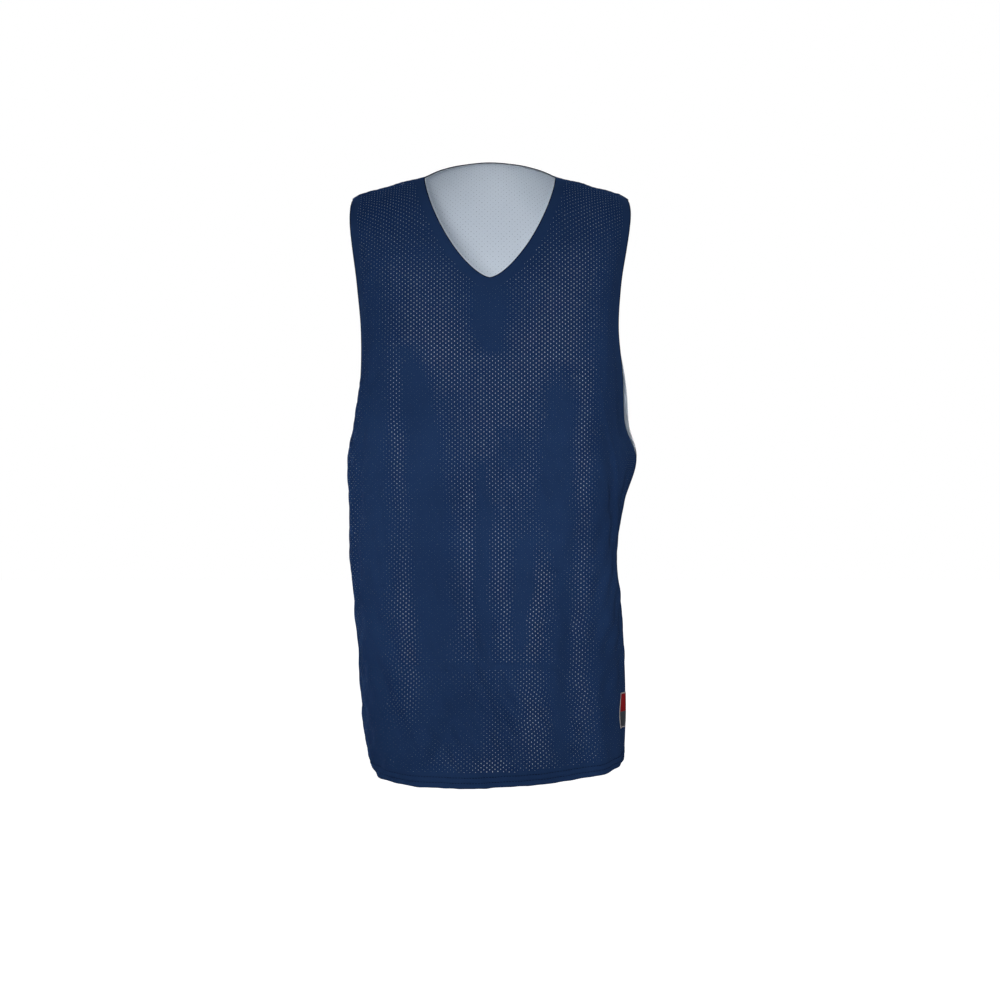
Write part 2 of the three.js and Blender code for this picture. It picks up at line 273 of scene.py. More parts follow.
def foldDepth(panel, across, level):
    total = np.zeros_like(across)
    for start, end, top, bottom, width, depth in folds[panel]:
        t = np.clip((top - level) / (top - bottom), 0, 1)
        away = (across - mix(start, end, t)) * form["acrossUnit"] / width
        total -= depth * np.sin(np.pi * t) ** endings["foldEnds"] * np.exp(-away * away)
    return total * smooth((2 - np.abs(across)) * endings["foldSides"])


# The uneven small ripples of worn cloth: how many waves, their lengths, height and lean, where
# their patches lie and how far they reach, and from which level down they grow to their full height
ripples = {
    "seeds": {"front": 11, "back": 12},
    "count": 26,
    "lengths": (16, 70),
    "height": .4,
    "lean": .55,
    "patchPlaces": (-200, 200),
    "patchLevels": (-800, -50),
    "patchReach": (110, 170),
    "start": -80,
    "full": -520,
    "least": .3,
}


def ripple(panel, x, level):
    waves = np.random.default_rng(ripples["seeds"][panel])
    reachAcross, reachDown = ripples["patchReach"]
    total = np.zeros_like(x)
    for _ in range(ripples["count"]):
        length = waves.uniform(*ripples["lengths"])
        lean = waves.normal(0, ripples["lean"])
        spot = waves.uniform(*ripples["patchPlaces"]), waves.uniform(*ripples["patchLevels"])
        place = x * np.cos(lean) + level * np.sin(lean) + waves.uniform(0, length)
        patch = np.exp(-((x - spot[0]) / reachAcross) ** 2 - ((level - spot[1]) / reachDown) ** 2)
        total += ripples["height"] * length ** .5 / 2 * np.sin(2 * np.pi * place / length) * patch
    growth = smooth((ripples["start"] - level) / (ripples["start"] - ripples["full"]))
    return total * mix(ripples["least"], 1, growth)


def creaseDepth(panel, across, level):
    total = np.zeros_like(across)
    scale = form["acrossUnit"]
    for fromAcross, fromLevel, toAcross, toLevel, width, depth in creases[panel]:
        runX, runZ = (toAcross - fromAcross) * scale, toLevel - fromLevel
        length = math.hypot(runX, runZ)
        x, z = (across - fromAcross) * scale, level - fromLevel
        t = np.clip((x * runX + z * runZ) / length ** 2, 0, 1)
        away = (x * runZ - z * runX) / length / width
        total -= depth * np.sin(np.pi * t) ** endings["creaseEnds"] * np.exp(-away * away)
    total += ripple(panel, across * scale, level)
    return total * smooth((2 - np.abs(across)) * endings["creaseSides"])


halvings = 34  # of a stretch, until the place looked for is known


def crossing(low, high, test):  # where the test changes from true to false, for arrays
    inside, outside = low.astype(float), high.astype(float)
    for _ in range(halvings):
        middle = (inside + outside) / 2
        good = test(middle)
        inside, outside = np.where(good, middle, inside), np.where(good, outside, middle)
    return (inside + outside) / 2


def neckLevel(x):
    share = np.minimum(1, np.abs(x) / form["neckHalf"])
    return -form["neckDrop"] * (1 - share ** form["neckAcross"]) ** form["neckDown"]


def hemLevel(panel, across):
    left = across < 0
    rise = np.where(left, hem[panel]["riseLeft"], hem[panel]["riseRight"])
    power = np.where(left, hem["powerLeft"], hem["powerRight"])
    return hem[panel]["middle"] + rise * np.abs(across / 2) ** power


def rowAtLevel(level):
    level = np.asarray(level, float)
    start, end = np.zeros_like(level), np.full_like(level, lastSection)
    return crossing(start, end, lambda row: column("level", row) > level)


neckRow = float(rowAtLevel(np.array([-form["neckDrop"]]))[0])


def neckAcross(side, rows):  # how far the neck opening reaches on one side of each row
    def isOpen(across):
        point = plainPoint("front", side * across, rows)
        return (np.abs(point[..., 0]) < form["neckHalf"]) & (point[..., 2] > neckLevel(point[..., 0]))
    return crossing(np.zeros_like(rows), np.ones_like(rows), isOpen)


def armCut(panel, side, rows):  # where the armhole cuts the cloth, across
    target = edgeDepth(panel, rows, rounded=True)

    def isCloth(across):
        depth = plainPoint(panel, side * across, rows)[..., 1]
        return depth < target if panel == "front" else depth > target

    found = crossing(np.ones_like(rows), np.full_like(rows, 2), isCloth)
    return side * np.where(rows < form["cutStart"], 2, found)


clothGrid = {"columns": 321, "lines": 601}


def gridPlace(value, low, span, count):  # the grid line before each value, and the share past it
    place = np.clip((value - low) / span * (count - 1), 0, count - 1 - 1e-9)
    index = place.astype(int)
    return index, place - index


class Cloth:
    # The draped form of one panel on a fine grid, and its flat cut: millimetres from the
    # middle and down from the shoulder seam

    def __init__(self, panel):
        self.panel = panel
        columns, lines = clothGrid["columns"], clothGrid["lines"]
        self.across = np.linspace(-2, 2, columns)
        self.rows = np.linspace(0, lastSection, lines)
        across, rows = np.meshgrid(self.across, self.rows)
        plain = plainPoint(panel, across, rows)
        depth = foldDepth(panel, across, plain[..., 2]) + creaseDepth(panel, across, plain[..., 2])
        points = plain + self.normalsOf(plain) * depth[..., None]
        self.grid = np.concatenate([points, self.normalsOf(points)], -1)
        steps = np.linalg.norm(np.diff(points, axis=1), axis=-1)
        lengths = np.concatenate([np.zeros((lines, 1)), np.cumsum(steps, 1)], 1)
        self.lengths = lengths - lengths[:, [columns // 2]]
        turns = [columns // 4, 3 * columns // 4]
        fall = np.linalg.norm(np.diff(points[:, turns], axis=0), axis=-1).mean(1)
        self.downs = np.concatenate([[0], np.cumsum(fall)])

    def normalsOf(self, points):
        normals = unit(np.cross(np.gradient(points, axis=1), np.gradient(points, axis=0)))
        return -normals if self.panel == "front" else normals

    def places(self, across, rows):
        return (gridPlace(across, -2, 4, clothGrid["columns"]),
                gridPlace(rows, 0, lastSection, clothGrid["lines"]))

    def at(self, across, rows):  # points and normals, smooth between the grid's own
        taps = []
        for (index, share), count in zip(self.places(across, rows), clothGrid.values()):
            near = [np.clip(index + k, 0, count - 1) for k in (-1, 0, 1, 2)]
            taps.append((near, share[:, None]))
        (columns, x), (lines, y) = taps
        bands = [through(*(self.grid[line, place] for place in columns), x) for line in lines]
        found = through(*bands, y)
        return found[:, :3], unit(found[:, 3:])

    def downAt(self, row):
        return np.interp(row, self.rows, self.downs)

    def toFlat(self, across, row):
        (start, part), (index, share) = self.places(across, row)
        upper, lower = (mix(self.lengths[line, start], self.lengths[line, start + 1], part)
                        for line in (index, index + 1))
        return np.stack([mix(upper, lower, share), self.downAt(row)], -1)

    def fromFlat(self, flat):
        rows = np.interp(flat[:, 1], self.downs, self.rows)
        across = np.empty(len(flat))
        last = clothGrid["lines"] - 1
        downs, group = np.unique(np.round(flat[:, 1], 2), return_inverse=True)
        order = np.argsort(group, kind="stable")
        ends = np.cumsum(np.bincount(group))
        for down, members in zip(downs, np.split(order, ends[:-1])):
            place = np.interp(down, self.downs, self.rows) / lastSection * last
            index = min(int(place), last - 1)
            lengths = mix(self.lengths[index], self.lengths[index + 1], place - index)
            across[members] = np.interp(flat[members, 0], lengths, self.across)
        return across, rows


# How deep and wide the outer face dips into the seams, the inner ply's share of it, how many
# millimetres one step across is at the sides, and how fast the dip grows below the underarm
# and beside the neck
seams = {"dip": 1.3, "width": 1.6, "innerShare": .4, "sideUnit": 105, "underarmGrowth": 4, "neckFade": 4}

# The net of the knit, the size of a fully open hole, and how far inside each edge the holes stop
knit = {
    "columnStep": 3.75,
    "rowStep": 2.8,
    "holeHalfWidth": .62,
    "holeTopHalfWidth": .34,
    "holeHalfHeight": .82,
    "margins": {"neck": 12.5, "arm": 12.5, "side": 4.5, "shoulder": 4.5, "hem": 3.5},
}

# How wide the holes stand open, where the two plies and the light let them show: x at the top
# and bottom of a patch, its top and bottom level, half width and how much more or less open.
opening = {
    "usual": .43,
    "least": .14,
    "most": .89,
    "spread": .05,
    "wobbles": ((3, 29), (2, 11)),  # how the patches' edges wander: millimetres, and over what length
    "wobbleStep": 2.4,
    "patchEnds": .5,
    "patchEdge": 2.6,
    "front": [
        (-83, -80, -110, -290, 50, .36),
        (92, 88, -90, -290, 42, .4),
        (-130, -130, 20, -160, 34, .16),
        (132, 132, 20, -160, 30, .16),
        (20, 20, -190, -440, 74, .34),
        (-119, -119, -240, -440, 8, .35),
        (-105, -103, -430, -720, 12, .36),
        (-28, -24, -390, -610, 11, .34),
        (15, 20, -430, -640, 12, .36),
        (74, 52, -450, -660, 13, .4),
        (50, 62, -640, -790, 18, .36),
        (122, 120, -240, -460, 10, .34),
        (118, 114, -440, -745, 11, .28),
        (4, 4, -700, -790, 14, .3),
        (6, 9, -755, -800, 24, .5),
        (-50, -56, -735, -770, 26, .16),
        (-58, -58, -634, -645, 40, -.5),
        (22, 22, -632, -642, 26, -.5),
        (78, 78, -634, -644, 24, -.5),
        (.4, .4, -140, -240, 18, -1),
        (-100, -84, -225, -380, 17, -.8),
        (-86, -70, -345, -650, 24, -.6),
        (86, 83, -245, -520, 20, -.7),
        (26, 26, -330, -392, 20, -.4),
        (-11, -8, -370, -640, 8, -.8),
        (45, 40, -466, -620, 11, -.7),
        (92, 90, -500, -780, 10, -.5),
        (-150, -150, -60, -900, 18, -.4),
        (158, 158, -60, -900, 20, -.45),
        (-60, -20, -640, -760, 44, -.3),
        (-110, -100, -690, -830, 46, -.25),
        (30, 30, -650, -700, 12, -.25),
    ],
    "back": [
        (-70, -66, -120, -420, 34, .35),
        (64, 70, -100, -380, 38, .35),
        (0, 6, -300, -640, 20, .38),
        (-104, -96, -400, -720, 12, .38),
        (98, 90, -420, -740, 13, .38),
        (-34, -40, -160, -560, 13, -.6),
        (36, 30, -300, -700, 15, -.6),
        (120, 124, -200, -640, 16, -.5),
        (-130, -136, -240, -700, 18, -.5),
    ],
}


def openness(panel, points):
    x, level = points[:, 0], points[:, 2]
    total = opening["usual"] + random.normal(0, opening["spread"], len(points))
    for number, (fromX, toX, top, bottom, halfWidth, more) in enumerate(opening[panel]):
        t = np.clip((top - level) / (top - bottom), 0, 1)
        turn = opening["wobbleStep"] * number
        wander = sum(reach * np.sin(level / length + turn) for reach, length in opening["wobbles"])
        away = np.abs(x - mix(fromX, toX, t) + wander) / halfWidth
        total += more * np.sin(np.pi * t) ** opening["patchEnds"] * np.exp(-away ** opening["patchEdge"])
    return np.clip(total, opening["least"], opening["most"])


def holeCorners():  # of a fully open hole in the flat, from the lower right round by the left
    wide, top, high = knit["holeHalfWidth"], knit["holeTopHalfWidth"], knit["holeHalfHeight"]
    return np.array([(top, high), (-top, high), (-wide, 0), (-top, -high), (top, -high), (wide, 0)])


outlineSamples = 400  # for each stretch of a panel's edge


def panelOutline(panel):
    # The panel's edge as (across, row) with the kind of each stretch, once round
    share = np.linspace(0, 1, outlineSamples)
    seamRow = np.zeros(outlineSamples)
    lower = np.linspace(-2, 2, outlineSamples)
    hemRows = rowAtLevel(hemLevel(panel, lower) + hem["depth"])
    armRows = underarmRow * np.sin(np.pi / 2 * (1 - share))
    if panel == "front":
        first, last = (float(neckAcross(side, np.zeros(1))[0]) for side in (1, -1))
        rows = neckRow * np.sin(np.pi / 2 * share)
        neck = [(neckAcross(1, rows), rows, "neck"), (-neckAcross(-1, rows[::-1]), rows[::-1], "neck")]
    else:
        first, last = backNeckAcross(1), backNeckAcross(-1)
        neck = [(np.linspace(first, -last, outlineSamples), seamRow, "neck")]
    return [
        (lower, hemRows, "hem"),
        (np.full(outlineSamples, 2.), mix(hemRows[-1], underarmRow, share), "side"),
        (armCut(panel, 1, armRows), armRows, "arm"),
        (np.linspace(2, first, outlineSamples), seamRow, "shoulder"),
        *neck,
        (np.linspace(-last, -2, outlineSamples), seamRow, "shoulder"),
        (armCut(panel, -1, armRows[::-1]), armRows[::-1], "arm"),
        (np.full(outlineSamples, -2.), mix(underarmRow, hemRows[0], share), "side"),
    ]


def backNeckAcross(side):  # where the back neck edge meets the shoulder seam
    across = np.linspace(0, 1, 2001)
    point = plainPoint("back", side * across, np.zeros_like(across))
    return float(across[np.argmax(np.abs(point[:, 0]) >= form["neckHalf"])])


def evenStretch(cloth, across, row, step):
    trail = runAlong(cloth.toFlat(across, row))
    count = max(2, int(round(trail[-1] / step)))
    wanted = np.linspace(0, trail[-1], count + 1)[:-1]
    return np.stack([np.interp(wanted, trail, across), np.interp(wanted, trail, row)], 1)


def insideLoop(points, loop):
    inside = np.zeros(len(points), bool)
    for (x0, y0), (x1, y1) in zip(loop, np.roll(loop, -1, 0)):
        if y0 == y1:
            continue
        crossed = (points[:, 1] > y0) != (points[:, 1] > y1)
        inside ^= crossed & (points[:, 0] < x0 + (points[:, 1] - y0) * (x1 - x0) / (y1 - y0))
    return inside


def nearest(points, others):  # distance of each point to the nearest of the others
    result = np.empty(len(points))
    for start in range(0, len(points), 4000):
        gaps = points[start:start + 4000, None, :] - others[None]
        result[start:start + 4000] = np.sqrt((gaps ** 2).sum(-1).min(1))
    return result


def newObject(name, data):
    thing = bpy.data.objects.new(name, data)
    bpy.context.scene.collection.objects.link(thing)
    return thing


def meshObject(name, points, faces, materials, flats=None):
    mesh = bpy.data.meshes.new(name)
    mesh.from_pydata((np.asarray(points) * millimetre).tolist(), [], faces)
    mesh.polygons.foreach_set("use_smooth", np.ones(len(mesh.polygons), bool))
    if flats is not None:
        layer = mesh.uv_layers.new(name="cloth")
        corners = np.empty(len(mesh.loops), np.int32)
        mesh.loops.foreach_get("vertex_index", corners)
        layer.data.foreach_set("uv", (np.asarray(flats) * millimetre)[corners].astype(np.float32).ravel())
    for material in materials:
        mesh.materials.append(material)
    return newObject(name, mesh)


def faceOutward(piece):
    shape = bmesh.new()
    shape.from_mesh(piece.data)
    bmesh.ops.recalc_face_normals(shape, faces=shape.faces)
    shape.to_mesh(piece.data)
    shape.free()


def edgesOf(face):  # its sides, each with the lower vertex first
    return [(min(a, b), max(a, b)) for a, b in zip(face, face[1:] + face[:1])]


def joinedTriangles(triangles, fixed, isStart):
    # Every triangle that can be reached without crossing a fixed line, from the free sides
    # whose two ends both are a start
    sides = {}
    for index, triangle in enumerate(triangles):
        for edge in edgesOf(triangle):
            sides.setdefault(edge, []).append(index)
    start = []
    for edge, owners in sides.items():
        if len(owners) == 1 and all(isStart(vertex) for vertex in edge):
            start += owners
    joined, waiting = set(start), list(start)
    while waiting:
        for edge in edgesOf(triangles[waiting.pop()]):
            beyond = [] if edge in fixed else sides[edge]
            for other in beyond:
                if other not in joined:
                    joined.add(other)
                    waiting.append(other)
    return sorted(joined)


# The plain cloth round the net: the spacing of its edge points, its inner lines of points (how
# far inside the edge, and one in how many), and how near those come to the holes and the edge
rim = {
    "edgeStep": 3.2,
    "lines": ((1.3, 1), (3, 1), (6, 2), (9.5, 3)),
    "probe": .5,
    "fromHoles": 4.3,
    "fromEdge": 1,
}


class Panel:
    # One panel of the jersey with its holes: the net of the knit and the plain cloth round it

    def __init__(self, panel):
        self.panel = panel
        self.cloth = Cloth(panel)
        self.stretches = []
        for across, row, kind in panelOutline(panel):
            self.stretches.append((evenStretch(self.cloth, across, row, rim["edgeStep"]), kind))
        self.outline = np.concatenate([places for places, kind in self.stretches])
        self.flatOutline = self.cloth.toFlat(self.outline[:, 0], self.outline[:, 1])
        x, y = self.flatOutline.T
        self.area = abs(np.dot(x, np.roll(y, -1)) - np.dot(y, np.roll(x, -1))) / 2
        self.size = np.ptp(self.flatOutline, axis=0)
        self.makeNet()
        self.makeRim()

    def makeNet(self):
        steps = np.array([knit["columnStep"], knit["rowStep"]])
        low = (self.flatOutline.min(0) / steps).astype(int) - 1
        high = (self.flatOutline.max(0) / steps).astype(int) + 2
        columns, rows = (np.arange(*ends) for ends in zip(low, high))
        places = np.stack(np.meshgrid(columns, rows), -1).reshape(-1, 2)
        places = places[places.sum(1) % 2 == 0]
        places = places[insideLoop(places * steps, self.flatOutline)]
        keep = np.ones(len(places), bool)
        for stretch, kind in self.stretches:
            edge = self.cloth.toFlat(stretch[:, 0], stretch[:, 1])
            keep &= nearest(places * steps, edge) > knit["margins"][kind]
        places = places[keep]
        self.centres = places * steps
        spots, _ = self.cloth.at(*self.cloth.fromFlat(self.centres))
        corners = holeCorners()[None] * openness(self.panel, spots)[:, None, None]
        self.netFlat = (self.centres[:, None, :] + corners).reshape(-1, 2)
        self.faces = []
        self.outermost = set()  # the holes at the rim of the net
        number = {tuple(place): index for index, place in enumerate(places.tolist())}
        for (a, b), hole in number.items():
            later = ((a + 1, b + 1), (a, b + 2), (a - 1, b + 1))
            earlier = ((a - 1, b - 1), (a, b - 2), (a + 1, b - 1))
            if any(place not in number for place in later + earlier):
                self.outermost.add(hole)
            self.joinHoles(hole * 6, *(number[place] * 6 if place in number else None for place in later))

    def joinHoles(self, c, e, s, w):  # the cloth from one hole to the next, from their first corners
        if s is not None:
            self.faces.append((c, s + 4, s + 3, c + 1))
        if e is not None:
            self.faces.append((c + 5, e + 3, e + 2, c))
            if s is not None:
                self.faces.append((c, e + 2, s + 4))
        if w is not None:
            self.faces.append((c + 1, w + 5, w + 4, c + 2))
            if s is not None:
                self.faces.append((c + 1, s + 3, w + 5))

    def netBorder(self):  # the lines where the net ends, and the rims of its outermost holes
        uses = {}
        for face in self.faces:
            for edge in edgesOf(face):
                uses[edge] = uses.get(edge, 0) + 1
        lines = set()
        for hole in self.outermost:
            lines.update(edgesOf(tuple(range(hole * 6, hole * 6 + 6))))
        lines.update(edge for edge, count in uses.items() if count == 1 and edge[0] // 6 != edge[1] // 6)
        return lines

    def inwardOf(self, outline):  # the way into the cloth at each point of its edge
        along = np.roll(outline, -1, 0) - np.roll(outline, 1, 0)
        inward = unit(np.stack([-along[:, 1], along[:, 0]], 1))
        isInside = insideLoop(outline + inward * rim["probe"], outline)
        return inward if isInside.mean() >= .5 else -inward

    def rimPoints(self):
        edge, inward = self.flatOutline, self.flatInward
        points = np.concatenate([edge[::thin] + inward[::thin] * depth for depth, thin in rim["lines"]])
        points = points[insideLoop(points, edge)]
        points = points[nearest(points, self.centres) > rim["fromHoles"]]
        return points[nearest(points, edge) > rim["fromEdge"]]

    def makeRim(self):
        # The plain cloth between the net and the panel's edge, triangulated in the flat
        self.flatInward = self.inwardOf(self.flatOutline)
        lines = self.netBorder()
        used = sorted({vertex for edge in lines for vertex in edge})
        place = {vertex: index for index, vertex in enumerate(used)}
        first, count = len(used), len(self.flatOutline)
        edges = [(place[a], place[b]) for a, b in lines]
        edges += [(first + k, first + (k + 1) % count) for k in range(count)]
        points = np.concatenate([self.netFlat[used], self.flatOutline, self.rimPoints()])
        found, foundEdges, triangles, fromPoints, fromEdges, _ = delaunay_2d_cdt(
            [tuple(point) for point in points], edges, [], 1, 1e-6)
        fixed = {tuple(sorted(edge)) for edge, source in zip(foundEdges, fromEdges) if source}
        origin = [source[0] if source else -1 for source in fromPoints]
        netCount = len(self.netFlat)
        newPlaces = {}  # the vertices that the net doesn't have, each with its number

        def vertexOf(v):
            if 0 <= origin[v] < first:
                return used[origin[v]]
            return newPlaces.setdefault(v, netCount + len(newPlaces))

        for index in joinedTriangles(triangles, fixed, lambda v: first <= origin[v] < first + count):
            self.faces.append(tuple(vertexOf(v) for v in triangles[index]))
        self.flat = np.concatenate([self.netFlat, np.array([tuple(found[v]) for v in newPlaces])])
        self.across, self.rows = self.cloth.fromFlat(self.flat)
        for v, vertex in newPlaces.items():
            if first <= origin[v] < first + count:
                self.across[vertex], self.rows[vertex] = self.outline[origin[v] - first]
        self.points, self.normals = self.cloth.at(self.across, self.rows)
        self.turnFaces()

    def turnFaces(self):  # every face looks out of the jersey
        first = np.array([face[:3] for face in self.faces])
        a, b, c = (self.points[first[:, k]] for k in range(3))
        outward = (np.cross(b - a, c - a) * self.normals[first[:, 0]]).sum(1) > 0
        self.faces = [face if good else face[::-1] for face, good in zip(self.faces, outward)]

    def runs(self, kind):  # the stretches of its outline of one kind, joined where they meet
        starts = np.cumsum([0] + [len(places) for places, name in self.stretches])
        found = []
        for index, (places, name) in enumerate(self.stretches):
            if name != kind:
                continue
            if found and found[-1][1] == starts[index]:
                found[-1][1] = starts[index + 1]
            else:
                found.append([starts[index], starts[index + 1]])
        return [np.arange(start, end + 1) % len(self.outline) for start, end in found]


def seamDip(net):  # how far the cloth sinks towards the shoulder and side seams
    toSide = (2 - np.abs(net.across)) * seams["sideUnit"] / seams["width"]
    toShoulder = net.cloth.downAt(net.rows) / seams["width"]
    below = smooth((net.rows - underarmRow) * seams["underarmGrowth"])
    outside = smooth((np.abs(net.points[:, 0]) - form["neckHalf"]) / seams["neckFade"])
    return -seams["dip"] * (np.exp(-toSide ** 2) * below + np.exp(-toShoulder ** 2) * outside)


# How deep each ply and its turned edge lie under the outer face, how far the turned edges reach
# between the plies, and how far the inner ply stands out at them
plies = {
    "outer": 0,
    "outerTurn": -.5,
    "innerTurn": -1,
    "inner": -1.45,
    "turnDepth": 10.5,
    "innerReach": .9,
}


def plyObject(name, net, depth, material, shift=0):
    # One ply of a panel, as a single layer of cloth with its holes. The inner ply is the one
    # that is shifted, so that its holes lie beside the outer's.
    points, normals = net.points, net.normals
    dip = seamDip(net) * (seams["innerShare"] if shift else 1)
    if shift:
        moved = net.flat.copy()
        moved[:len(net.netFlat), 0] += shift
        across, rows = net.cloth.fromFlat(moved)
        held = np.arange(len(moved)) >= len(net.netFlat)
        points, normals = net.cloth.at(np.where(held, net.across, across), np.where(held, net.rows, rows))
    return meshObject(name, points + normals * (depth + dip)[:, None], net.faces, [material], net.flat)


def flatGrid(along, girth):  # the flat places of rings of points
    return np.stack(np.broadcast_arrays(along[:, None], girth[None]), -1).reshape(-1, 2)


def stripFaces(base, rings, count, closed=True):  # the faces between rings of points
    faces = []
    for k in range(rings - 1):
        for r in range(count if closed else count - 1):
            a, b = base + k * count + r, base + k * count + (r + 1) % count
            faces.append((a, b, b + count, a + count))
    return faces


def tube(centre, beside, out, radius, sides, base):  # a thread or cord: its points and faces
    angles = np.linspace(0, 2 * np.pi, sides, endpoint=False)
    spokes = beside[:, None] * np.cos(angles)[None, :, None] + out[:, None] * np.sin(angles)[None, :, None]
    points = (centre[:, None] + radius * spokes).reshape(-1, 3)
    last = base + len(points) - sides
    ends = [tuple(reversed(range(base, base + sides))), tuple(range(last, last + sides))]
    return points, stripFaces(base, len(centre), sides) + ends


def sweepEdge(name, net, kind, profile, material):
    # A profile of (millimetres into the cloth, out along its normal) swept along the edges
    points, faces, flats = [], [], []
    base = 0
    for chosen in net.runs(kind):
        edge, normals = net.cloth.at(*net.outline[chosen].T)
        flat, into = net.flatOutline[chosen], net.flatInward[chosen]
        beside = net.cloth.at(*net.cloth.fromFlat(flat + into))[0] - edge
        along = unit(np.gradient(edge, axis=0))
        beside = unit(beside - along * (beside * along).sum(1, keepdims=True))
        rings = []
        for depth, lift in profile:
            place, normal = edge + beside * depth, normals
            if depth > 0:
                place, normal = net.cloth.at(*net.cloth.fromFlat(flat + into * depth))
            rings.append(place + normal * lift)
        points.append(np.stack(rings, 1).reshape(-1, 3))
        flats.append(flatGrid(runAlong(edge), runAlong(profile)))
        faces += stripFaces(base, len(edge), len(profile), closed=False)
        base += len(points[-1])
    piece = meshObject(name, np.concatenate(points), faces, [material], np.concatenate(flats))
    faceOutward(piece)
    return piece


# The sewn ridges at the bottom of the seams
ridge = {"outerDepth": -1.75, "innerDepth": -2.9, "radius": .75, "sides": 8}


def seamRidge(name, nets, kind, depth, material):
    # A thin cord along the shoulder or side seams, halfway between the two panels' edges
    points, faces, flats = [], [], []
    base = 0
    angles = np.linspace(0, 2 * np.pi, ridge["sides"], endpoint=False)
    for chosen in nets["front"].runs(kind):
        across, rows = nets["front"].outline[chosen].T
        front, frontNormals = nets["front"].cloth.at(across, rows)
        back, backNormals = nets["back"].cloth.at(across, rows)
        normals = unit(frontNormals + backNormals)
        centre = (front + back) / 2 + normals * depth
        beside = np.cross(unit(np.gradient(centre, axis=0)), normals)
        rings, sides = tube(centre, beside, normals, ridge["radius"], ridge["sides"], base)
        points.append(rings)
        faces += sides
        flats.append(flatGrid(runAlong(centre), angles))
        base += len(rings)
    return meshObject(name, np.concatenate(points), faces, [material], np.concatenate(flats))


# How a turned edge starts on the ply's face and rolls over, in millimetres
turned = {"startsAt": 1.2, "rollsAt": .2, "lift": .06, "rollWidth": .9, "rollPoints": 7}


def turnProfile(outside, turn, depth, reach):
    # A turned edge: from the ply's face round a small roll and back between the plies
    middle, radius = (outside + turn) / 2, abs(outside - turn) / 2
    angles = np.linspace(np.pi / 2, -np.pi / 2, turned["rollPoints"])
    rollDepth = -reach - np.cos(angles) * radius * turned["rollWidth"]
    roll = np.stack([rollDepth, middle + np.sin(angles) * (outside - middle)], 1)
    face = outside + np.sign(outside - turn) * turned["lift"]
    start = np.array([[turned["startsAt"], face], [turned["rollsAt"], face]])
    back = np.array([[depth / 2, turn], [depth, turn]])
    return np.concatenate([start, roll, back])


def newMaterial(name):
    material = bpy.data.materials.new(name)
    material.use_nodes = True
    nodes, links = material.node_tree.nodes, material.node_tree.links
    return material, nodes, links, nodes["Principled BSDF"]


def setInputs(node, values):
    for name, value in values.items():
        node.inputs[name].default_value = value


def mathNode(nodes, links, operation, first, second=None):
    node = nodes.new("ShaderNodeMath")
    node.operation = operation
    for socket, value in zip(node.inputs, (first, second)):
        if value is None:
            continue
        if isinstance(value, (int, float)):
            socket.default_value = value
        else:
            links.new(value, socket)
    return node.outputs[0]


def noiseNode(nodes, links, place, scale, detail):
    noise = nodes.new("ShaderNodeTexNoise")
    setInputs(noise, {"Scale": scale, "Detail": detail})
    links.new(place, noise.inputs["Vector"])
    return noise.outputs[0]


# The look of all the knits: how the loops lean and how high they stand between the ribs, the
# two noises and their shares in the shade, the share of the knit's height in it (painted shade, darker
# between the loops), and the depth of the relief in metres
knitLook = {
    "loopLean": 1.7,
    "loopHeight": .35,
    "blotchScale": 9,
    "blotchDetail": 3,
    "blotchShare": .45,
    "fineScale": 1400,
    "fineDetail": 2,
    "fineShare": .3,
    "hollowShadeShare": .2,
    "shadeRange": (.32, .72),
    "reliefDepth": .00018,
    "sheenRoughness": .45,
}


def knitHeight(nodes, links, cloth, wale, course):
    # The height of a fine knit: rows of small loops, wale and course in metres
    parts = nodes.new("ShaderNodeSeparateXYZ")
    links.new(cloth, parts.inputs[0])
    across = mathNode(nodes, links, "MULTIPLY", parts.outputs[0], math.pi / wale)
    ribs = mathNode(nodes, links, "ABSOLUTE", mathNode(nodes, links, "SINE", across))
    down = mathNode(nodes, links, "MULTIPLY", parts.outputs[1], 2 * math.pi / course)
    leaning = mathNode(nodes, links, "MULTIPLY", ribs, knitLook["loopLean"])
    loops = mathNode(nodes, links, "SINE", mathNode(nodes, links, "ADD", down, leaning))
    loops = mathNode(nodes, links, "MULTIPLY", loops, knitLook["loopHeight"])
    return mathNode(nodes, links, "ADD", loops, ribs)


